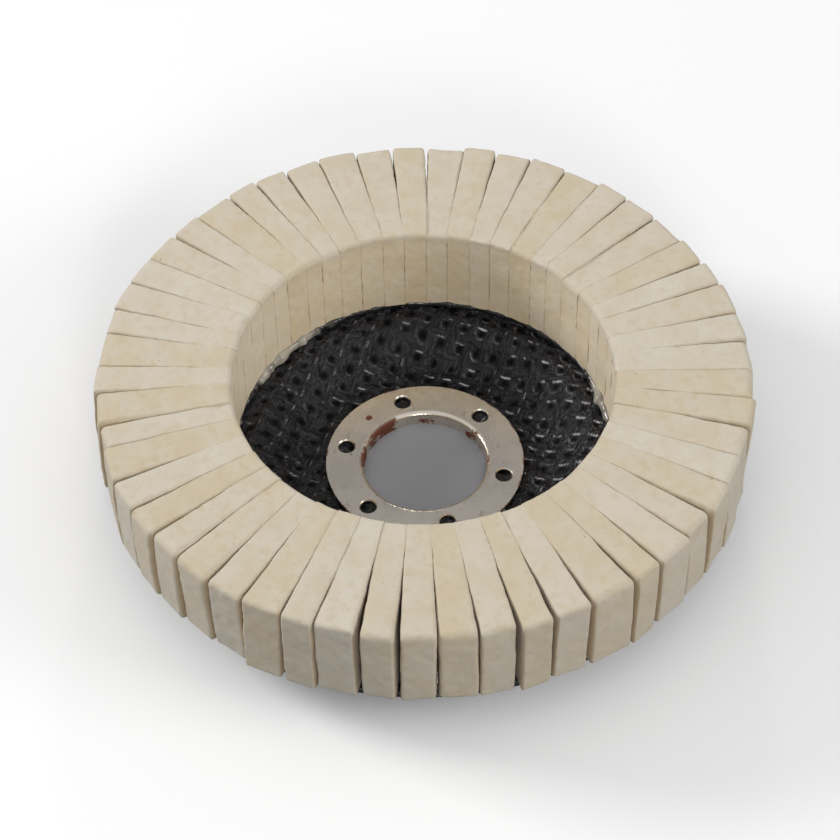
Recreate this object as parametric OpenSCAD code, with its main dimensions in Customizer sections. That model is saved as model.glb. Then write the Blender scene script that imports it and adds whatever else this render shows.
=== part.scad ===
// Felt flap polishing wheel for an angle grinder: upright blocks of pressed wool felt, set
// side by side in a resin bed on a depressed-centre glass-cloth plate with a steel arbor ring.
// Z = 0 is the rear face of the hub, which seats on the grinder's flange, and +Z is the
// working side, where the felt is.

/* [Wheel] */
// Outside diameter over the felt
wheel_d = 115; // [110:0.5:120]
// Diameter of the well inside the felt
well_d = 67; // [65:0.5:70]
// Number of felt flaps
flap_count = 53; // [48:1:53]
// Height of a flap above its resin bed
flap_h = 18.2; // [10:0.1:25]

/* [Flap irregularity] */
// Narrowest and widest opening between two flaps at the rim
gap_range = [0.1, 0.9]; // [0.05:0.05:2]
// Share of the flaps' length over which they touch, beside the widest and the narrowest gap
touch_range = [0.3, 0.7]; // [0.2:0.05:0.8]
// Share of a flap's pitch by which a seam may stray at the well
seam_stray = 0.09; // [0:0.01:0.15]
// Share of a flap's pitch by which a seam may lean at the rim
seam_lean = 0.07; // [0:0.01:0.12]
// Most that a flap's end stops short of the outside diameter
short_end = 0.7; // [0:0.1:1.5]
// Most that a flap's top lies below the highest one
low_top = 0.35; // [0:0.05:1]

/* [Backing plate] */
// Diameter of the plate
plate_d = 108.5; // [102:0.5:110]
// Thickness of one of the three plies
ply_t = 0.7; // [0.5:0.1:1]
// Depth of the depressed centre
dish_h = 6; // [3:0.5:7]
// Diameter of the flat hub
hub_d = 42; // [40:1:46]
// Diameter at which the plate is flat again
dish_d = 63; // [58:1:64]

/* [Arbor ring] */
// Arbor hole, the 7/8 inch standard
bore_d = 22.23; // [22.23:0.01:22.4]
// Diameter of the ring's flange
ring_d = 35.8; // [34:0.2:38]
// Thickness of the ring's steel sheet
sheet_t = 0.6; // [0.4:0.1:0.7]
// Radius of the bend between flange and collar
bend_r = 0.9; // [0.8:0.1:1.2]
// Number of anchor holes in the flange
anchor_count = 6; // [4:1:8]
// Diameter of an anchor hole
anchor_d = 2.9; // [2:0.1:3.2]
// Diameter of the circle that the anchor holes lie on
anchor_pcd = 29.3; // [28.5:0.1:30]
// Turn of the first anchor hole
anchor_turn = 45.5; // [0:0.5:60]

/* [Resin bed] */
// Thickness of the resin under the flaps
bed_t = 0.5; // [0.3:0.1:1]
// How far the squeezed-out bead stands out from the felt
bead_w = 1.5; // [0.5:0.1:2]
// How far the bead climbs the felt
bead_h = 1; // [0.5:0.1:2]

/* [Hidden] */
$fn = 96;
flap_names = [for (i = [1 : flap_count]) str("felt_flap_", i < 10 ? "0" : "", i)];

fit_gap = 0.03;
plate_t = 3 * ply_t;
bed_z = dish_h + plate_t;
foot_z = bed_z + bed_t;
pitch = 360 / flap_count;
dish_steps = 12;

seam_at_well = rands(-1, 1, flap_count, 11);
seam_at_rim = rands(-1, 1, flap_count, 23);
gap_at_rim = rands(gap_range[0], gap_range[1], flap_count, 37);
end_draw = rands(0, 1, flap_count, 41);
top_draw = rands(0, 1, flap_count, 59);

// Height of the plate's rear face at radius r: a flat hub, an S-shaped wall and a flat rim.
function dish_run(r) = max(0, min(1, (2 * r - hub_d) / (dish_d - hub_d)));
function dish_z(r) = dish_h * pow(dish_run(r), 2) * (3 - 2 * dish_run(r));

// Seam k lies between flap k and the one before it, and seam flap_count is seam 0 again.
// The two flaps touch as far out as touch_r, and part from there to the rim.
function well_angle(k) = pitch * (k + seam_stray * seam_at_well[k % flap_count]);
function rim_angle(k) = well_angle(k) + pitch * seam_lean * seam_at_rim[k % flap_count];
function gap(k) = gap_at_rim[k % flap_count];
function touch_share(k) = touch_range[1] - (touch_range[1] - touch_range[0]) * gap(k) / gap_range[1];
function touch_r(k) = (well_d + touch_share(k) * (wheel_d - well_d)) / 2;
function touch_angle(k) = well_angle(k) + touch_share(k) * (rim_angle(k) - well_angle(k));

// The point at radius r and angle a, moved sideways by d.
function beside(r, a, d) = [r * cos(a) - d * sin(a), r * sin(a) + d * cos(a)];

// Squared draws make nearly full-sized flaps common and short or low ones rare.
function flap_end_r(i) = wheel_d / 2 - short_end * pow(end_draw[i], 2);
function flap_top(i) = flap_h - low_top * pow(top_draw[i], 2);
function flap_well_r(i) = well_d / 2 / cos((well_angle(i + 1) - well_angle(i)) / 2);

module felt_flap(i) {
  color("#dccfb4")
    translate([0, 0, foot_z])
      linear_extrude(flap_top(i))
        polygon([
          beside(flap_well_r(i), well_angle(i), fit_gap),
          beside(touch_r(i), touch_angle(i), fit_gap),
          beside(flap_end_r(i), rim_angle(i), gap(i) / 2),
          beside(flap_end_r(i), rim_angle(i + 1), -gap(i + 1) / 2),
          beside(touch_r(i + 1), touch_angle(i + 1), -fit_gap),
          beside(flap_well_r(i), well_angle(i + 1), -fit_gap)
        ]);
}

// One ply of the plate, with its rear face at height z on the hub.
module ply(z, hole_r) {
  rim_r = plate_d / 2;
  wall = [for (k = [0 : dish_steps]) (hub_d + (dish_d - hub_d) * k / dish_steps) / 2];
  radii = concat([hole_r], wall, [rim_r]);
  rear = [for (r = radii) [r, z + dish_z(r)]];
  front = [for (k = [len(radii) - 1 : -1 : 0]) [radii[k], z + ply_t + dish_z(radii[k])]];
  rotate_extrude()
    polygon(concat(rear, front));
}

module rear_glass_cloth() {
  color("#1d1d1f") ply(0, bore_d / 2 + sheet_t + fit_gap);
}

module core_ply() {
  color("#2a2826") ply(ply_t, bore_d / 2 + sheet_t + fit_gap);
}

module front_glass_cloth() {
  color("#1d1d1f") ply(2 * ply_t, bore_d / 2 + bend_r + fit_gap);
}

// Half section of the ring: the flange on the plate, the bend, and the collar down the bore.
module ring_section() {
  bend_x = bore_d / 2 + bend_r;
  bend_z = plate_t + sheet_t - bend_r;
  translate([bend_x, plate_t])
    square([ring_d / 2 - bend_x, sheet_t]);
  translate([bore_d / 2, 0])
    square([sheet_t, bend_z]);
  translate([bend_x, bend_z])
    intersection() {
      difference() {
        circle(bend_r);
        circle(bend_r - sheet_t);
      }
      translate([-bend_r, 0])
        square(bend_r);
    }
}

module arbor_ring() {
  lead_in = 0.2;
  color("#b9b2a8")
    difference() {
      rotate_extrude()
        ring_section();
      for (k = [0 : anchor_count - 1])
        rotate(anchor_turn + k * 360 / anchor_count)
          translate([anchor_pcd / 2, 0, plate_t]) {
            translate([0, 0, -1])
              cylinder(d = anchor_d, h = sheet_t + 2);
            translate([0, 0, sheet_t - lead_in])
              cylinder(d1 = anchor_d, d2 = anchor_d + 4 * lead_in, h = 2 * lead_in);
          }
    }
}

// The resin that holds the felt, with the bead that squeezed out into the well.
module resin_bed() {
  well_r = well_d / 2 - fit_gap;
  bed_r = plate_d / 2 - 1;
  color("#b8b09c")
    rotate_extrude()
      polygon([
        [well_r - bead_w, bed_z],
        [bed_r, bed_z],
        [bed_r, foot_z],
        [well_r, foot_z],
        [well_r, foot_z + bead_h],
        [well_r - bead_w / 2, foot_z]
      ]);
}

arbor_ring();
front_glass_cloth();
core_ply();
rear_glass_cloth();
resin_bed();
for (i = [0 : flap_count - 1])
  felt_flap(i);
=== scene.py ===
"""Looks of the felt flap polishing wheel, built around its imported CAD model.

Lengths are in metres, and MM turns millimetres into them.
"""
import itertools
import math

import bpy
import numpy as np
from mathutils import Matrix, Vector


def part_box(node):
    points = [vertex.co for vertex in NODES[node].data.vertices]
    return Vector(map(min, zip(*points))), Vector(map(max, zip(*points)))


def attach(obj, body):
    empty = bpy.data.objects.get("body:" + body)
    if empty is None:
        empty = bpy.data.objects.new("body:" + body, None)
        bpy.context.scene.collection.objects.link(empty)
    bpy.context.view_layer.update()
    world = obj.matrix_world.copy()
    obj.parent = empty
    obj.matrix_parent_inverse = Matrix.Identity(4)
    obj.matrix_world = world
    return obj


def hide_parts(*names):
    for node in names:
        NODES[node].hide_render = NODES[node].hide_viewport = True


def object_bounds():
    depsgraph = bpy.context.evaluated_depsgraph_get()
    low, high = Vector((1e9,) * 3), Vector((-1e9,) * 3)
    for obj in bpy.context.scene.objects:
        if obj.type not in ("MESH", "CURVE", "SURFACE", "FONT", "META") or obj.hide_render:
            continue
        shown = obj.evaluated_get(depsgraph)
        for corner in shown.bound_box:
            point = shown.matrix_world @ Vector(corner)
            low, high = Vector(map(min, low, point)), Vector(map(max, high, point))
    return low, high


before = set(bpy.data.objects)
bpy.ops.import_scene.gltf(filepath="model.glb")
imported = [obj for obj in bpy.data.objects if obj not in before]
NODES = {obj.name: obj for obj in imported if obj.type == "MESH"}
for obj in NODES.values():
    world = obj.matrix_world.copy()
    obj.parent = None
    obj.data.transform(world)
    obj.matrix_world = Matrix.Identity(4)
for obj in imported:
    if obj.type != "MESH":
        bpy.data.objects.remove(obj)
CAD_LOW, CAD_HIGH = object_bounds()
MM = 0.001
BODY = "root"

# Camera: 30 cm in front of the axis and 34 cm above the felt, looking half down
CAMERA_BACK = 0.3047
CAMERA_ABOVE_FELT = 0.3406
CAMERA_DOWN = math.radians(49.24)
CAMERA_YAW = math.radians(-0.14)
CAMERA_ROLL = math.radians(-1.11)
CAMERA_LENS = 112.5

# Woven glass cloth. Widths along and across its yarns are shares of its pitch.
WEAVE_PITCH = 3.43 * MM
WARP_LEAN = math.radians(22)  # of the warps, from the Y axis
WEFT_SLOPE = 0.34  # of the wefts, against the X axis
WEFT_BOW = 3.2  # of the wefts, per metre
YARN_HALF_WIDTH = 0.33
YARN_CROWN = 0.5 * MM  # from a yarn's crown down to its edge
WARP_ZIGZAG = 0.05
YARN_RISE = 0.2 * MM  # of a yarn where it passes over another
WEFT_DROP = 0.04 * MM  # of the wefts below the warps
PIT_DEPTH = 0.45 * MM
PIT_BOWL = 0.2 * MM  # rise of a pit's floor, 1 mm out from its middle
PIT_RADII = (0.2 * MM, 1.0 * MM)  # of the painted shade in a pit: its darkest part, and all of it
DEEPEST_RELIEF = 0.5 * MM
BARE_GLINT_WEFT_HALF = (0.3, 0.045)  # half the length and width of a pale strand on a weft: exposed glass with a painted glint
BARE_GLINT_WEFT_OFF = 0.27  # how far it lies above the middle of the pit
BARE_GLINT_WARP_HALF = (0.035, 0.24)  # half the width and length of one beside a warp
BARE_GLINT_WARP_OFF = 0.13  # how far it lies left of the warp's middle
WELL_STEP = 0.165 * MM  # between rings of points in the well, where the cloth is seen best
REAR_STEP = 0.36 * MM
FRONT_COLUMNS = 710
REAR_COLUMNS = 620
FRONT_CLOTH_SEED = 301
REAR_CLOTH_SEED = 401

# Resin bead: each blob of thick glue as its angle, its half width in degrees and its size
GLUE_BLOBS = ((140, 16, 0.7), (14, 9, 0.9))
BEAD_COLUMNS = 900

# Felt flaps. The edges' radii are given along the flap, across it and upwards.
WELL_EDGE_RADII = np.array([0.15, 0.05, 0.08]) * MM
RIM_EDGE_RADII = np.array([1.0, 0.5, 1.1]) * MM
WELL_ROUND = 0.8 * MM  # radius of the top edge along the well
RIM_SWELL = 0.13 * MM  # past each side of the CAD flap, towards the rim
PRESSED = 0.06 * MM  # past each side of the CAD flap, where the flaps touch
EDGE_MARKS = np.array([0, 0.07, 0.16, 0.28, 0.44, 0.66, 0.95, 1.35]) * MM  # grid lines, from an end
FLAP_CELLS = (64, 26, 50)  # along, across and upwards
FLAP_SEED = 1000
TONE_SEED = 5
# The pale and the warm colour of each batch of felt
FELT_TONES = (((0.593, 0.528, 0.42), (0.569, 0.49, 0.359)),
              ((0.602, 0.541, 0.443), (0.582, 0.507, 0.381)),
              ((0.587, 0.517, 0.4), (0.564, 0.48, 0.339)),
              ((0.594, 0.532, 0.427), (0.571, 0.495, 0.366)),
              ((0.607, 0.552, 0.454), (0.584, 0.515, 0.396)),
              ((0.582, 0.51, 0.388), (0.56, 0.475, 0.328)))

# Rust on the arbor ring: each patch at the lip as its angle, its half width in degrees and
# its amount, and the place of one blot on the flange
RUST_AT_LIP = ((138, 30, 0.85), (173, 20, 0.75), (86, 16, 0.42), (34, 20, 0.5), (-8, 20, 0.6),
               (240, 16, 0.4))
RUST_BLOT = (-10.1 * MM, 10.4 * MM, 0)


# ---------------------------------------------------------------- numbers and meshes

def hashed(cells, seed):
    """An even draw from 0 to 1 for each lattice point, the same on every run."""
    i, j, k = cells.T
    n = (i * 374761393 + j * 668265263 + k * 1442695041 + seed * 974634777) & 0xFFFFFFFF
    n = ((n ^ (n >> 13)) * 1274126177) & 0xFFFFFFFF
    return ((n ^ (n >> 16)) & 0xFFFFFF) / 0xFFFFFF


def noise(points, size, seed):
    """Smooth noise from -1 to 1 at each point, with lumps of about the given size."""
    places = points / size
    cells = np.floor(places).astype(np.int64)
    share = places - cells
    share = share ** 3 * (share * (share * 6 - 15) + 10)
    total = np.zeros(len(points))
    for corner in itertools.product((0, 1), repeat=3):
        weight = np.prod(np.where(np.array(corner), share, 1 - share), axis=1)
        total += weight * hashed(cells + corner, seed)
    return 2 * total - 1


def wobble(points, size, seed):
    """Three independent noises as a vector at each point."""
    return np.stack([noise(points, size, seed + k) for k in range(3)], axis=1)


def smooth_step(x):
    """A soft step that is 0 up to x = 0 and 1 from x = 1."""
    x = np.clip(x, 0, 1)
    return x * x * (3 - 2 * x)


def flat(points):
    """Points in the plane, given a height of zero."""
    return np.column_stack([points, np.zeros(len(points))])


def vertices(node):
    """The corner points of a CAD node's mesh."""
    return np.array([v.co for v in NODES[node].data.vertices], float)


def radii_of(node):
    """How far each of a CAD node's corner points lies from the axis."""
    return np.hypot(*vertices(node)[:, :2].T)


def closed_mesh(name, points, quads, material):
    """An object of smooth quads, turned so that its faces look outwards."""
    a, b, c, d = (points[quads[:, k]] for k in range(4))
    volume = np.einsum("ij,ij->i", a, np.cross(b, c) + np.cross(c, d)).sum()
    if volume < 0:
        quads = quads[:, ::-1]
    mesh = bpy.data.meshes.new(name)
    mesh.from_pydata(points.tolist(), [], quads.tolist())
    mesh.shade_smooth()
    mesh.materials.append(material)
    piece = bpy.data.objects.new(name, mesh)
    bpy.context.scene.collection.objects.link(piece)
    return piece


def mark(piece, name, values):
    """Gives each point of a piece a value, which its material reads by this name."""
    layer = piece.data.attributes.new(name, "FLOAT", "POINT")
    layer.data.foreach_set("value", values)


def install(piece, node):
    """Puts a visual piece in the place of its CAD node."""
    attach(piece, BODY)
    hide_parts(node)


# Sizes of the CAD model that more than one piece needs
FLAP_NODES = sorted(name for name in NODES if name.startswith("felt_flap_"))
WELL_R = float(min(radii_of(node).min() for node in FLAP_NODES))
RING_BORE_R = float(radii_of("arbor_ring").min())
RING_RIM_R = float(radii_of("arbor_ring").max())
PLATE_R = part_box("front_glass_cloth")[1].x


# ---------------------------------------------------------------- material helpers

def new_material(name, **sockets):
    """A material with its principled shader, whose named sockets take these values."""
    material = bpy.data.materials.new(name)
    material.use_nodes = True
    tree = material.node_tree
    shader = tree.nodes["Principled BSDF"]
    for socket, value in sockets.items():
        shader.inputs[socket.replace("_", " ")].default_value = value
    return material, tree, shader


def add(tree, kind, inputs, **settings):
    """A shader node whose inputs are values or other nodes' outputs. Returns its first output."""
    node = tree.nodes.new("ShaderNode" + kind)
    for name, value in settings.items():
        setattr(node, name, value)
    for key, value in inputs.items():
        if isinstance(value, bpy.types.NodeSocket):
            tree.links.new(value, node.inputs[key])
        else:
            node.inputs[key].default_value = value
    return node.outputs[0]


def place(tree):
    """The point's place in the wheel's own frame, in metres."""
    return tree.nodes.new("ShaderNodeTexCoord").outputs["Object"]


def lumps(tree, where, size, detail=3, rough=0.5, lift=0.0):
    """Noise from 0 to 1 with lumps of about the given size."""
    inputs = {"Vector": where, "Scale": 1 / size, "Detail": detail, "Roughness": rough,
              "W": lift}
    return add(tree, "TexNoise", inputs, noise_dimensions="4D")


def math_node(tree, operation, a, b=0.0):
    """The result of a Math node on a and b."""
    return add(tree, "Math", {0: a, 1: b}, operation=operation)


def vector_math(tree, operation, vector, other=(0, 0, 0)):
    """The number that a Vector Math node gives, such as a length, a distance or a product."""
    node = tree.nodes.new("ShaderNodeVectorMath")
    node.operation = operation
    tree.links.new(vector, node.inputs[0])
    node.inputs[1].default_value = other
    return node.outputs["Value"]


def split_xyz(tree, vector):
    """The three coordinates of a vector."""
    node = tree.nodes.new("ShaderNodeSeparateXYZ")
    tree.links.new(vector, node.inputs[0])
    return node.outputs


def marked(tree, name):
    """The value that mark() gave the mesh's points by this name."""
    node = tree.nodes.new("ShaderNodeAttribute")
    node.attribute_name = name
    return node.outputs["Fac"]


def window(tree, value, low, high):
    """A soft step from 0 at low to 1 at high. It falls where low is above high."""
    inputs = {"Value": value, "From Min": low, "From Max": high}
    return add(tree, "MapRange", inputs, interpolation_type="SMOOTHSTEP")


def scaled(colour, red, green, blue):
    """A colour with its channels times these factors."""
    return colour[0] * red, colour[1] * green, colour[2] * blue


def blend_colour(tree, share, a, b, mode="MIX"):
    """Colour a where share is 0 and colour b, or a times b, where it is 1."""
    node = tree.nodes.new("ShaderNodeMix")
    node.data_type = "RGBA"
    node.blend_type = mode
    for key, value in ((0, share), (6, a), (7, b)):
        if isinstance(value, bpy.types.NodeSocket):
            tree.links.new(value, node.inputs[key])
        elif key == 0:
            node.inputs[key].default_value = value
        else:
            node.inputs[key].default_value = (*value, 1.0)
    return node.outputs[2]


def bump(tree, height, distance, strength, under=None):
    """A bumped normal, laid over the one under it if there is one."""
    inputs = {"Height": height, "Distance": distance, "Strength": strength}
    if under is not None:
        inputs["Normal"] = under
    return add(tree, "Bump", inputs)


# ---------------------------------------------------------------- materials

def felt_material(name, tone, warm):
    """Pressed wool: matted and pale, warm where it is cut, with painted brown shade and warm glow
    on its sides between the flaps.
    """
    material, tree, shader = new_material(name, Roughness=0.95, Sheen_Weight=0.25,
                                          Sheen_Roughness=0.6, Specular_IOR_Level=0.15)
    where = place(tree)
    cloud = lumps(tree, where, 5.5 * MM, detail=3)
    mottle = lumps(tree, where, 1.8 * MM, detail=5, rough=0.6)
    fibre = lumps(tree, where, 0.25 * MM, detail=3, rough=0.6)
    colour = blend_colour(tree, window(tree, cloud, 0.4, 0.66), tone, warm)
    shade = scaled(warm, 0.97, 0.95, 0.91)
    colour = blend_colour(tree, window(tree, mottle, 0.54, 0.3), colour, shade)
    pale = scaled(tone, 1.05, 1.05, 1.05)
    colour = blend_colour(tree, window(tree, fibre, 0.5, 0.75), colour, pale)
    stain = lumps(tree, where, 3.2 * MM, detail=3, lift=3.0)
    stained = scaled(warm, 0.94, 0.89, 0.81)
    colour = blend_colour(tree, window(tree, stain, 0.6, 0.85), colour, stained)
    warmer = (1.12, 1.08, 1.0)
    colour = blend_colour(tree, marked(tree, "cut"), colour, warmer, "MULTIPLY")
    # Painted shade with a warm glow through the felt: the flaps' sides go brown below the top,
    # between the flaps
    brown = (0.5, 0.39, 0.24)
    colour = blend_colour(tree, marked(tree, "flank_shade"), colour, brown)
    speck = window(tree, lumps(tree, where, 0.5 * MM, detail=1, lift=7.0), 0.77, 0.81)
    dark_fibre = (0.2, 0.14, 0.09)
    colour = blend_colour(tree, speck, colour, dark_fibre)
    tree.links.new(colour, shader.inputs["Base Color"])
    coarse = bump(tree, mottle, 0.22 * MM, 0.7)
    tree.links.new(bump(tree, fibre, 0.03 * MM, 0.6, coarse), shader.inputs["Normal"])
    return material


def cloth_material():
    """Black resin over glass yarns: fine streaks along each yarn, painted shade in the pits, pale
    strands with painted glints, and a hard gloss.
    """
    material, tree, shader = new_material("black_glass_cloth", Roughness=0.3,
                                          Specular_IOR_Level=0.33)
    where = place(tree)
    streaks = []
    for turn, stretch in ((-WARP_LEAN, (8, 1.5, 1)), (-math.atan(WEFT_SLOPE), (1.5, 8, 1))):
        turned = add(tree, "Mapping", {"Vector": where, "Rotation": (0, 0, -turn),
                                       "Scale": (1 / WEAVE_PITCH,) * 3})
        drawn = add(tree, "Mapping", {"Vector": turned, "Scale": stretch})
        streaks.append(add(tree, "TexNoise", {"Vector": drawn, "Scale": 1.0, "Detail": 3.0}))
    strand = add(tree, "Mix", {0: marked(tree, "weft"), 2: streaks[0], 3: streaks[1]})
    film = lumps(tree, where, 0.9 * MM, detail=4, rough=0.55)
    dull_black, grey_strand = (0.003, 0.003, 0.005), (0.028, 0.028, 0.032)
    colour = blend_colour(tree, window(tree, strand, 0.42, 0.68), dull_black, grey_strand)
    dust = window(tree, lumps(tree, where, 2.2 * MM, detail=5, lift=2.0), 0.6, 0.8)
    dust_colour = (0.07, 0.066, 0.06)
    colour = blend_colour(tree, math_node(tree, "MULTIPLY", dust, 0.5), colour, dust_colour)
    # Painted shade: the pits are coloured near black, as if in shadow
    pit = marked(tree, "pit")
    pit_shade_black = (0.003, 0.003, 0.004)
    colour = blend_colour(tree, pit, colour, pit_shade_black)
    # Pale strands: partly exposed glass, partly painted glints that are brighter towards +X
    bare_glass_glint = (0.5, 0.5, 0.53)
    colour = blend_colour(tree, marked(tree, "bare_and_glint"), colour, bare_glass_glint)
    tree.links.new(colour, shader.inputs["Base Color"])
    # A near-black metal mirrors almost nothing, so the pits stay dark
    tree.links.new(math_node(tree, "MULTIPLY", pit, 0.8), shader.inputs["Metallic"])
    gloss = add(tree, "MapRange", {"Value": film, "To Min": 0.06, "To Max": 0.3})
    rough = add(tree, "Mix", {0: math_node(tree, "MULTIPLY", pit, 0.7), 2: gloss, 3: 0.6})
    tree.links.new(rough, shader.inputs["Roughness"])
    coarse = bump(tree, strand, 0.3 * MM, 0.9)
    tree.links.new(bump(tree, film, 0.65 * MM, 1.0, coarse), shader.inputs["Normal"])
    return material


def core_material():
    """The plate's cut edge: dark resin with pale broken glass ends in layers."""
    material, tree, shader = new_material("plate_core", Roughness=0.62,
                                          Specular_IOR_Level=0.35)
    where = place(tree)
    layered = add(tree, "Mapping", {"Vector": where, "Scale": (1, 1, 7)})
    ends = lumps(tree, layered, 1.2 * MM, detail=5, rough=0.65)
    dark_resin, pale_glass = (0.018, 0.017, 0.016), (0.13, 0.12, 0.1)
    colour = blend_colour(tree, window(tree, ends, 0.48, 0.72), dark_resin, pale_glass)
    tree.links.new(colour, shader.inputs["Base Color"])
    tree.links.new(bump(tree, ends, 0.1 * MM, 0.7), shader.inputs["Normal"])
    return material


def resin_material():
    """Squeezed-out glue: black like the cloth, and cloudy grey and brown where it is thick."""
    material, tree, shader = new_material("bedding_resin", Roughness=0.22, IOR=1.5,
                                          Coat_Weight=0.3, Coat_Roughness=0.08)
    where = place(tree)
    cloud = lumps(tree, where, 3.5 * MM, detail=4)
    grey, pale = (0.2, 0.185, 0.16), (0.42, 0.39, 0.33)
    colour = blend_colour(tree, window(tree, cloud, 0.35, 0.6), grey, pale)
    stain = window(tree, lumps(tree, where, 5 * MM, detail=2, lift=4.0), 0.56, 0.68)
    brown = (0.2, 0.13, 0.07)
    colour = blend_colour(tree, stain, colour, brown)
    black = (0.012, 0.012, 0.013)
    colour = blend_colour(tree, marked(tree, "thick"), black, colour)
    tree.links.new(colour, shader.inputs["Base Color"])
    ripple = lumps(tree, where, 0.8 * MM, detail=3)
    tree.links.new(bump(tree, ripple, 0.12 * MM, 0.5), shader.inputs["Normal"])
    return material


def ring_material():
    """Satin nickel on formed steel, rusting at the lip, at the rim and in a few pits."""
    material, tree, shader = new_material("plated_steel", Metallic=1.0, Roughness=0.3)
    where = place(tree)
    x, y, _ = split_xyz(tree, where)
    flat_place = add(tree, "CombineXYZ", {0: x, 1: y})
    radius = vector_math(tree, "LENGTH", flat_place)
    cloud = lumps(tree, where, 5 * MM, detail=4)
    nickel, pale_nickel = (0.75, 0.68, 0.585), (0.82, 0.745, 0.645)
    colour = blend_colour(tree, window(tree, cloud, 0.35, 0.65), nickel, pale_nickel)
    tarnish = lumps(tree, where, 1.3 * MM, detail=5, rough=0.65)
    tarnished = (0.42, 0.37, 0.33)
    colour = blend_colour(tree, window(tree, tarnish, 0.56, 0.74), colour, tarnished)
    grain = lumps(tree, where, 0.5 * MM, detail=4, rough=0.7)
    cloudy = lumps(tree, where, 2.2 * MM, detail=3, lift=5.0)
    ragged = math_node(tree, "ADD", math_node(tree, "MULTIPLY", cloudy, 1.8),
                       math_node(tree, "MULTIPLY", grain, 1.2))
    by_lip = window(tree, radius, RING_BORE_R + 1.1 * MM, RING_BORE_R + 0.2 * MM)
    by_rim = window(tree, radius, RING_RIM_R - 0.5 * MM, RING_RIM_R)
    edge_rust = math_node(tree, "MULTIPLY", by_rim, window(tree, ragged, 1.5, 1.75))
    for angle, half_width, amount in RUST_AT_LIP:
        spoke = (math.cos(math.radians(angle)), math.sin(math.radians(angle)), 0)
        share = math_node(tree, "DIVIDE", vector_math(tree, "DOT_PRODUCT", flat_place, spoke),
                          radius)
        near = window(tree, share, math.cos(math.radians(half_width)), 1.0)
        bite = math_node(tree, "ADD", ragged, math_node(tree, "MULTIPLY", near, amount))
        bite = math_node(tree, "MULTIPLY", window(tree, bite, 1.9, 2.1), by_lip)
        edge_rust = math_node(tree, "MAXIMUM", edge_rust, bite)
    spots = window(tree, lumps(tree, where, 1.5 * MM, detail=3, rough=0.6, lift=9.0), 0.74, 0.78)
    from_blot = math_node(tree, "DIVIDE", vector_math(tree, "DISTANCE", flat_place, RUST_BLOT),
                          MM)
    blot = math_node(tree, "ADD", from_blot, grain)
    spots = math_node(tree, "MAXIMUM", spots, window(tree, blot, 1.25, 0.95))
    rust = math_node(tree, "MAXIMUM", edge_rust, spots)
    dark_rust, red_rust = (0.07, 0.018, 0.01), (0.26, 0.085, 0.04)
    rust_colour = blend_colour(tree, grain, dark_rust, red_rust)
    colour = blend_colour(tree, rust, colour, rust_colour)
    tree.links.new(colour, shader.inputs["Base Color"])
    clean = math_node(tree, "SUBTRACT", 1.0, rust)
    tree.links.new(clean, shader.inputs["Metallic"])
    satin = add(tree, "MapRange", {"Value": cloud, "To Min": 0.2, "To Max": 0.34})
    rough = add(tree, "Mix", {0: rust, 2: satin, 3: 0.85})
    tree.links.new(rough, shader.inputs["Roughness"])
    uneven = bump(tree, lumps(tree, where, 2.5 * MM, detail=2), 0.1 * MM, 0.25)
    tree.links.new(bump(tree, grain, 0.06 * MM, 0.35, uneven), shader.inputs["Normal"])
    return material


# ---------------------------------------------------------------- woven cloth and resin

def ply_profile(node):
    """The radii of a ply's rings, and the height of its rear and front face at each."""
    points = vertices(node)
    radii = np.hypot(points[:, 0], points[:, 1]).round(6)
    rings = np.unique(radii)
    rear = np.array([points[radii == r, 2].min() for r in rings])
    front = np.array([points[radii == r, 2].max() for r in rings])
    return rings, rear, front


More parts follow.
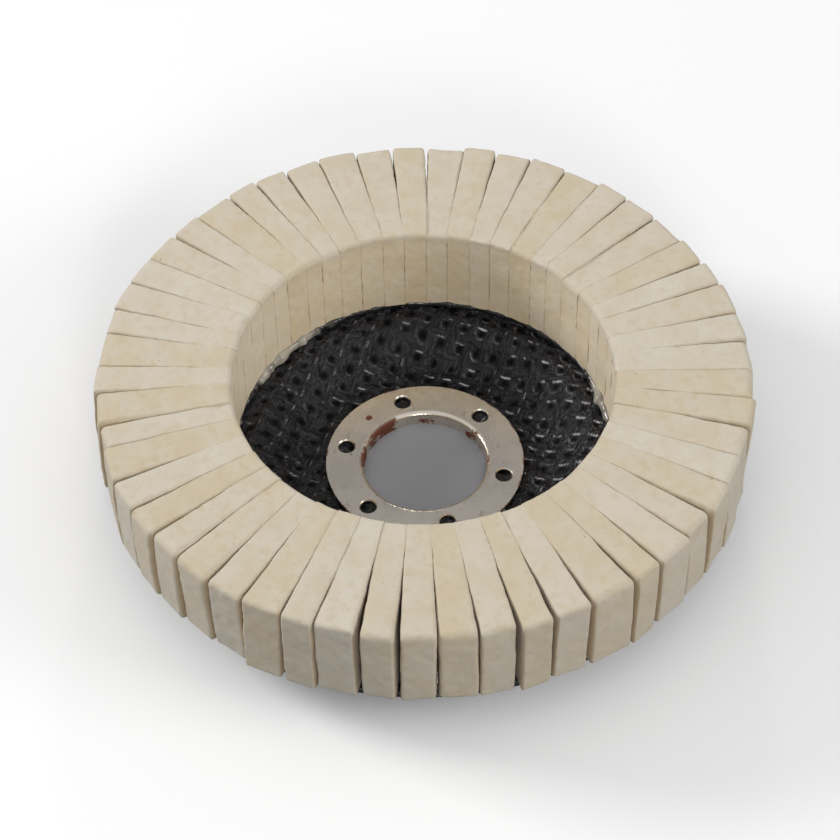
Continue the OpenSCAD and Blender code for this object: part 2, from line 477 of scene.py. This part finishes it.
def weave(x, y, seed):
    """The cloth's relief as its height, and its shares of weft, of painted pit shade and of pale
    strand with painted glint.
    """
    # Places in the weave: warps run where u is whole, wefts where v is whole, and a pit lies
    # in the middle of each square between them
    places = flat(np.column_stack([x, y]))
    stray = 0.04 * wobble(places, 5 * MM, seed) + 0.035 * wobble(places, 1.7 * MM, seed + 3)
    u = (x * math.cos(WARP_LEAN) - y * math.sin(WARP_LEAN)) / WEAVE_PITCH + 0.5 + stray[:, 0]
    v = (y + WEFT_SLOPE * x + WEFT_BOW * x ** 2) / WEAVE_PITCH + 0.5 + stray[:, 1]
    pit_u, pit_v = u - np.floor(u) - 0.5, v - np.floor(v) - 0.5
    from_pit = WEAVE_PITCH * np.hypot(pit_u, pit_v) + 1e-9

    # Yarns that pass over each other by turns, and a film of resin in the pits between them
    width = YARN_HALF_WIDTH * (1 + 0.2 * noise(places, 2.3 * MM, seed + 7))
    across = u - WARP_ZIGZAG * np.cos(np.pi * v)
    crowns = [np.clip(1 - np.abs((n - np.round(n)) / width) ** 2.6, 0, 1) ** 0.5
              for n in (across, v)]
    over = YARN_RISE * np.cos(np.pi * u) * np.cos(np.pi * v)
    warp = YARN_CROWN * (crowns[0] - 1) + over - YARN_RISE
    weft = YARN_CROWN * (crowns[1] - 1) - over - YARN_RISE - WEFT_DROP
    film = (-PIT_DEPTH + PIT_BOWL * np.clip(from_pit / MM, 0, 1) ** 2
            + 0.06 * MM * noise(places, 2.2 * MM, seed + 9))
    soft = 0.05 * MM
    parts = np.exp(np.stack([warp, weft, film]) / soft)
    total = parts.sum(axis=0)
    height = soft * np.log(total) + 0.07 * MM * noise(places, 0.9 * MM, seed + 11)
    # The pits' painted shade, darkest in their middle
    ragged = from_pit * (1 + 0.3 * noise(places, 1.9 * MM, seed + 13))
    pit = smooth_step((PIT_RADII[1] - ragged) / (PIT_RADII[1] - PIT_RADII[0]))

    # Pale strands, partly exposed glass and partly painted glints: on wefts mostly at +X, beside
    # warps mostly at -X, and painted highlight crescents below the pits
    patches = noise(places, 4 * MM, seed + 15) + 0.5 * noise(places, 2 * MM, seed + 16)
    off_weft = pit_v - BARE_GLINT_WEFT_OFF - stray[:, 0]
    weft_bare_glint = (smooth_step((BARE_GLINT_WEFT_HALF[0] - np.abs(pit_u)) / 0.08)
               * smooth_step((BARE_GLINT_WEFT_HALF[1] - np.abs(off_weft)) / 0.03)
               * smooth_step((patches + 16 * x + 0.05) / 0.4))
    off_warp = u - np.round(u) + BARE_GLINT_WARP_OFF
    warp_bare_glint = (smooth_step((BARE_GLINT_WARP_HALF[0] - np.abs(off_warp)) / 0.03)
               * smooth_step((BARE_GLINT_WARP_HALF[1] - np.abs(v - np.round(v))) / 0.1)
               * smooth_step((0.05 - patches - 14 * x) / 0.4))
    below_pit = (-0.5 * pit_u - 0.85 * pit_v) * WEAVE_PITCH / from_pit
    crescent_glint = (smooth_step((0.2 * MM - np.abs(ragged - 0.95 * MM)) / (0.12 * MM))
                * smooth_step((below_pit - 0.2) / 0.5)
                * smooth_step((noise(places, 2.4 * MM, seed + 19) + 0.3) / 0.7))
    broken = np.clip(0.55 + 0.9 * noise(places, 0.8 * MM, seed + 17), 0, 1)
    bare_and_glint = np.maximum(weft_bare_glint, np.maximum(0.75 * warp_bare_glint, 0.22 * crescent_glint)) * broken
    # The painted glints grow brighter towards +X
    bare_and_glint *= 1.15 + 20 * x
    return np.clip(height, -DEEPEST_RELIEF, 0), parts[1] / total, pit, bare_and_glint


def lathe_quads(rows, columns):
    """Quads of a ring-shaped skin of closed rows and closed columns."""
    row, column = np.meshgrid(np.arange(rows), np.arange(columns), indexing="ij")
    next_row, next_column = (row + 1) % rows, (column + 1) % columns
    corners = [row * columns + column, next_row * columns + column,
               next_row * columns + next_column, row * columns + next_column]
    return np.stack(corners, axis=-1).reshape(-1, 4)


def marks(stretches):
    """Increasing places through several stretches, each (end, step), from the first's end."""
    places = [stretches[0][0]]
    for end, step in stretches[1:]:
        count = max(1, round((end - places[-1]) / step))
        places.extend(np.linspace(places[-1], end, count + 1)[1:])
    return np.array(places)


def front_rings():
    """Radii of the front cloth's points: close together in the well, wide under the rest."""
    inner_r = ply_profile("front_glass_cloth")[0][0]
    return marks([(inner_r, 0), (RING_RIM_R - MM, MM), (WELL_R + MM, WELL_STEP),
                  (PLATE_R, 1.6 * MM)])


def rear_rings():
    """Radii of the rear cloth's points, evenly apart."""
    inner_r = ply_profile("rear_glass_cloth")[0][0]
    return marks([(inner_r, 0), (PLATE_R, REAR_STEP)])


def make_cloth(node, radii, columns, side, seed, material):
    """A ply of woven cloth: its relief is on the front (side 1) or on the rear (side -1)."""
    rings, rear, front = ply_profile(node)
    woven_z, plain_z = (front, rear) if side > 0 else (rear, front)
    plain_radii = radii[::12][::-1]
    turn = np.linspace(0, 2 * np.pi, columns, endpoint=False)
    r, angle = (grid.ravel() for grid in np.meshgrid(radii, turn, indexing="ij"))
    height = np.interp(r, rings, woven_z)
    slope = np.interp(r + MM / 4, rings, woven_z) - np.interp(r - MM / 4, rings, woven_z)
    tilt = np.arctan2(slope, MM / 2)
    relief, *shares = weave(r * np.cos(angle), r * np.sin(angle), seed)
    inside = np.minimum(r - radii[0], radii[-1] - r)
    relief = relief * smooth_step(inside / (0.8 * MM))
    out = r - side * relief * np.sin(tilt)
    up = height + side * relief * np.cos(tilt)
    woven = np.column_stack([out * np.cos(angle), out * np.sin(angle), up])
    r, angle = (grid.ravel() for grid in np.meshgrid(plain_radii, turn, indexing="ij"))
    plain = np.column_stack([r * np.cos(angle), r * np.sin(angle),
                             np.interp(r, rings, plain_z)])
    points = np.vstack([woven, plain])
    quads = lathe_quads(len(radii) + len(plain_radii), columns)
    piece = closed_mesh(node + "_woven", points, quads, material)
    for name, share in zip(("weft", "pit", "bare_and_glint"), shares):
        mark(piece, name, np.append(share, np.zeros(len(plain))))
    install(piece, node)


def make_resin(material):
    """The resin bed, with a bead that squeezes out unevenly along the foot of the felt."""
    low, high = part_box("resin_bed")
    turn = np.linspace(0, 2 * np.pi, BEAD_COLUMNS, endpoint=False)
    around = 40 * MM * np.column_stack([np.cos(turn), np.sin(turn), 0 * turn])
    draw = 0.5 + 0.5 * noise(around, 9 * MM, 71) + 0.25 * noise(around, 3 * MM, 72)
    lumpy = noise(around, 1.5 * MM, 73)
    blobs = [np.exp(-((np.degrees(turn) - angle) / half_width) ** 2)
             for angle, half_width, _ in GLUE_BLOBS]
    amount = 0.35 + 0.35 * draw + 0.4 * lumpy
    for blob, (_, _, size) in zip(blobs, GLUE_BLOBS):
        amount = amount + size * blob
    amount = np.clip(amount, 0.08, None)
    well_r = WELL_R + 0.1 * MM
    bed_z = low.z - 0.05 * MM
    bed_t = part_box("felt_flap_01")[0].z - low.z
    foot_z = bed_z + bed_t
    reach, climb = 0.95 * MM * amount, 0.75 * MM * amount
    curve = np.linspace(0, np.pi / 2, 9)
    rows = [(well_r - reach * np.cos(t) ** 0.8, bed_z + (climb + bed_t) * np.sin(t) ** 0.9)
            for t in curve]
    rows += [(well_r + 0 * turn, foot_z + 0 * turn), (high.x + 0 * turn, foot_z + 0 * turn),
             (high.x + 0 * turn, bed_z + 0 * turn), (well_r + 0 * turn, bed_z + 0 * turn)]
    points = np.vstack([np.column_stack([r * np.cos(turn), r * np.sin(turn), z])
                        for r, z in rows])
    points += 0.04 * MM * wobble(points, 0.9 * MM, 81)
    piece = closed_mesh("resin_bead", points, lathe_quads(len(rows), BEAD_COLUMNS),
                        material)
    thick = smooth_step((np.maximum(*blobs) + 0.15 * lumpy - 0.25) / 0.3)
    mark(piece, "thick", np.tile(thick, len(rows)))
    install(piece, "resin_bed")


# ---------------------------------------------------------------- felt flaps

def brick_skin(counts):
    """The skin of a block of cells: each point as whole steps along x, y and z, and quads."""
    axes = [np.arange(n + 1) for n in counts]
    steps = np.stack(np.meshgrid(*axes, indexing="ij"), -1).reshape(-1, 3)
    on_skin = np.any((steps == 0) | (steps == np.array(counts)), axis=1)
    number = np.where(on_skin, np.cumsum(on_skin) - 1, -1).reshape([n + 1 for n in counts])
    quads = []
    for axis, side in itertools.product(range(3), (0, -1)):
        face = np.take(number, side, axis=axis)
        corners = [face[:-1, :-1], face[1:, :-1], face[1:, 1:], face[:-1, 1:]]
        if (side == 0) != (axis == 1):
            corners.reverse()
        quads.append(np.stack(corners, -1).reshape(-1, 4))
    return steps[on_skin], np.concatenate(quads)


def grid_lines(length, cells):
    """Places of a grid's lines along a length, close together at both ends."""
    inner = cells + 3 - 2 * len(EDGE_MARKS)
    middle = np.linspace(EDGE_MARKS[-1], length - EDGE_MARKS[-1], inner)[1:-1]
    return np.concatenate([EDGE_MARKS, middle, length - EDGE_MARKS[::-1]])


def flap_plan(node):
    """A flap's middle direction, and its right and left edge as (along, across) points."""
    plan = np.unique(vertices(node)[:, :2].round(7), axis=0)
    far = plan[np.argsort(np.hypot(*plan.T))[-2:]].mean(0)
    middle = far / np.hypot(*far)
    along = plan @ middle
    across = plan @ np.array([-middle[1], middle[0]])
    edges = []
    for side in (-1, 1):
        mine = side * across > 0
        order = np.argsort(along[mine])
        edges.append((along[mine][order], across[mine][order]))
    return middle, edges


def softened(x, edge, reach=3.5 * MM):
    """A flap's edge at each x, with the knee where it parts from its neighbour rounded."""
    along, across = edge
    reach = np.clip(np.minimum(x - along[0], along[-1] - x), 0, reach)
    samples = [np.interp(x + k * reach, along, across) for k in np.linspace(-1, 1, 7)]
    return np.mean(samples, axis=0)


def rounded(points, half, size, radii):
    """Points of a block, pulled in so that its edges are round. It is 2 * half wide at each."""
    x, y, z = points
    core = np.column_stack([np.clip(x, radii[:, 0], size[0] - radii[:, 0]),
                            np.clip(y, radii[:, 1] - half, half - radii[:, 1]),
                            np.clip(z, radii[:, 2], size[1] - radii[:, 2])])
    away = (np.column_stack([x, y, z]) - core) / radii
    away /= np.maximum(np.linalg.norm(away, axis=1), 1e-6)[:, None]
    return (core + away * radii).T


def make_flap(number, skin, material):
    """One upright block of felt: soft edges that open towards the rim, and an uneven cut."""
    node = f"felt_flap_{number:02d}"
    steps, quads = skin
    (edge_draw, lean, bulge, end_slant, end_skew, rim_top, well_top, top_skew, rim_foot,
     foot_skew, lip_draw, swell_draw) = np.random.default_rng(FLAP_SEED + number).uniform(
         -1, 1, 12)
    middle, edges = flap_plan(node)
    low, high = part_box(node)
    start = min(edge[0][0] for edge in edges)
    length = max(edge[0][-1] for edge in edges) - start
    tall = high.z - low.z

    # The block along X, with its right and left sides where the CAD flap has them. It presses
    # on its neighbours near the well and swells towards the rim, but not at the front.
    x = grid_lines(length, FLAP_CELLS[0])[steps[:, 0]]
    z = grid_lines(tall, FLAP_CELLS[2])[steps[:, 2]]
    right, left = (softened(start + x, edge) for edge in edges)
    pressed_share = smooth_step((0.75 - x / length) / 0.4)
    swell = RIM_SWELL * smooth_step((middle[1] + 0.95) / 0.7) * (1 + 0.6 * swell_draw)
    press = PRESSED * pressed_share + swell * (1 - pressed_share)
    half = (left - right) / 2 + press
    mean_half = half.mean()
    lines = grid_lines(2 * mean_half, FLAP_CELLS[1]) - mean_half
    across = lines[steps[:, 1]] / mean_half

    # Rounded edges, sharp where the flaps are pressed together and soft at the rim
    soft = smooth_step(x / length / 0.9)[:, None]
    radii = (WELL_EDGE_RADII + (RIM_EDGE_RADII - WELL_EDGE_RADII) * soft) * (1 + 0.3 * edge_draw)
    x, y, z = rounded((x, across * half, z), half, (length, tall), radii)
    lip = WELL_ROUND * (1 + 0.3 * lip_draw)
    z = z * (1 - (lip - np.sqrt(lip ** 2 - np.maximum(lip - x, 0) ** 2)) / tall)
    share, up = x / length, z / tall
    below_top = smooth_step((1 - up) * tall / (2.5 * MM))
    # The flap's sides below its top, which get the painted brown shade between the flaps
    flank_shade = smooth_step((np.abs(across) - 0.9) / 0.1) * below_top
    cut = smooth_step(1 - x / (2 * MM)) * below_top

    # The cut well, the bulging end and the small differences from flap to flap
    y = y + (left + right) / 2 + 0.16 * MM * lean * (2 * up - 1) * share ** 2
    x = x + (np.sqrt(np.maximum(start ** 2 - y ** 2, 0)) - start) * (1 - share)
    end = smooth_step((share - 0.6) / 0.4)
    x += MM * end * (0.22 * (1 - (2 * up - 1) ** 2) * (0.6 + bulge)
                     + 0.3 * end_slant * (2 * up - 1) + 0.25 * end_skew * across)
    z += MM * up * (0.2 * rim_top * share + 0.12 * well_top * (1 - share)
                    + 0.12 * top_skew * across * share + 0.1 * (1 - across ** 2) * share)
    z += MM * (1 - up) * share ** 4 * (0.35 * rim_foot - 0.1 + 0.3 * foot_skew * across)
    points = np.column_stack([start + x, y, low.z + z])
    seed = 31 * number
    points += 0.11 * MM * wobble(points, 4.5 * MM, seed)
    points += 0.06 * MM * wobble(points, 1.6 * MM, seed + 7)
    points += 0.022 * MM * wobble(points, 0.7 * MM, seed + 13)
    turned = np.column_stack([points[:, 0] * middle[0] - points[:, 1] * middle[1],
                              points[:, 0] * middle[1] + points[:, 1] * middle[0],
                              points[:, 2]])
    piece = closed_mesh(f"felt_block_{number:02d}", turned, quads, material)
    mark(piece, "flank_shade", flank_shade)
    mark(piece, "cut", cut)
    install(piece, node)


# ---------------------------------------------------------------- camera, light and floor

def look(back, above, down, yaw, roll, lens):
    """A camera in front of the wheel, from its angles below and beside the +Y axis."""
    forward = Vector((math.sin(yaw) * math.cos(down), math.cos(yaw) * math.cos(down),
                      -math.sin(down)))
    right = forward.cross(Vector((0, 0, 1))).normalized()
    up = right.cross(forward)
    rolled_right = math.cos(roll) * right + math.sin(roll) * up
    rolled_up = math.cos(roll) * up - math.sin(roll) * right
    camera = bpy.data.objects.new("camera", bpy.data.cameras.new("camera"))
    camera.data.lens = lens
    camera.data.sensor_width = 36
    turn = Matrix((rolled_right, rolled_up, -forward)).transposed()
    camera.matrix_world = Matrix.Translation((0, -back, above)) @ turn.to_4x4()
    bpy.context.scene.collection.objects.link(camera)
    bpy.context.scene.camera = camera


def soft_box(name, place_at, size, power):
    """A square soft box that looks at the wheel and isn't seen itself."""
    lamp = bpy.data.lights.new(name, "AREA")
    lamp.energy = power
    lamp.size = size
    lamp.color = (1.0, 0.985, 0.96)
    light = bpy.data.objects.new(name, lamp)
    light.location = place_at
    aim = Vector((0, 0, CAD_HIGH.z)) - light.location
    light.rotation_euler = aim.to_track_quat("-Z", "Y").to_euler()
    light.visible_camera = False
    bpy.context.scene.collection.objects.link(light)


def make_floor():
    """A pale table top, grey under the hub, where it shows through the arbor hole."""
    material, tree, shader = new_material("floor", Roughness=0.6)
    where = place(tree)
    under_hub = window(tree, vector_math(tree, "LENGTH", where), 19 * MM, 17 * MM)
    white, grey = (0.97, 0.97, 0.97), (0.355, 0.36, 0.385)
    colour = blend_colour(tree, under_hub, white, grey)
    tree.links.new(colour, shader.inputs["Base Color"])
    half = 3.0
    mesh = bpy.data.meshes.new("floor")
    mesh.from_pydata([(-half, -half, 0), (half, -half, 0), (half, half, 0), (-half, half, 0)],
                     [], [(0, 1, 2, 3)])
    mesh.materials.append(material)
    floor = bpy.data.objects.new("floor", mesh)
    floor.location.z = CAD_LOW.z - 0.02 * MM
    bpy.context.scene.collection.objects.link(floor)
    floor.visible_diffuse = False


def light_studio():
    """A sky over a dark ground, with a low soft box on each side, in front and behind."""
    world = bpy.data.worlds.new("studio")
    bpy.context.scene.world = world
    world.use_nodes = True
    tree = world.node_tree
    direction = tree.nodes.new("ShaderNodeTexCoord").outputs["Generated"]
    _, y, z = split_xyz(tree, direction)
    low_sky, high_sky = (0.42, 0.425, 0.435), (0.69, 0.7, 0.72)
    colour = blend_colour(tree, window(tree, z, 0.1, 1.0), low_sky, high_sky)
    sky_behind = (0.3, 0.304, 0.316)
    colour = blend_colour(tree, window(tree, y, 0.2, 0.7), colour, sky_behind)
    dark_ground = (0.09, 0.092, 0.1)
    colour = blend_colour(tree, window(tree, z, -0.1, 0.15), dark_ground, colour)
    tree.links.new(colour, tree.nodes["Background"].inputs["Color"])
    soft_box("left_box", (-0.84, 0.3, 0.45), 0.3, 5.5)
    soft_box("right_box", (0.86, -0.25, 0.45), 0.4, 2.9)
    soft_box("front_box", (0.1, -0.85, 0.5), 0.2, 2.0)
    soft_box("back_box", (0.05, 0.8, 0.42), 0.08, 0.4)
    bpy.context.scene.view_settings.view_transform = "Standard"


# ---------------------------------------------------------------- the wheel

look(CAMERA_BACK, CAD_HIGH.z + CAMERA_ABOVE_FELT, CAMERA_DOWN, CAMERA_YAW, CAMERA_ROLL,
     CAMERA_LENS)
light_studio()
make_floor()

cloth = cloth_material()
make_cloth("front_glass_cloth", front_rings(), FRONT_COLUMNS, 1, FRONT_CLOTH_SEED, cloth)
make_cloth("rear_glass_cloth", rear_rings(), REAR_COLUMNS, -1, REAR_CLOTH_SEED, cloth)
make_resin(resin_material())
for node, material in (("arbor_ring", ring_material()), ("core_ply", core_material())):
    NODES[node].data.materials.clear()
    NODES[node].data.materials.append(material)

felts = [felt_material(f"wool_felt_{k + 1}", *tones) for k, tones in enumerate(FELT_TONES)]
flap_skin = brick_skin(FLAP_CELLS)
tones = np.random.default_rng(TONE_SEED).integers(0, len(felts), len(FLAP_NODES))
for number, tone in enumerate(tones, start=1):
    make_flap(number, flap_skin, felts[tone])
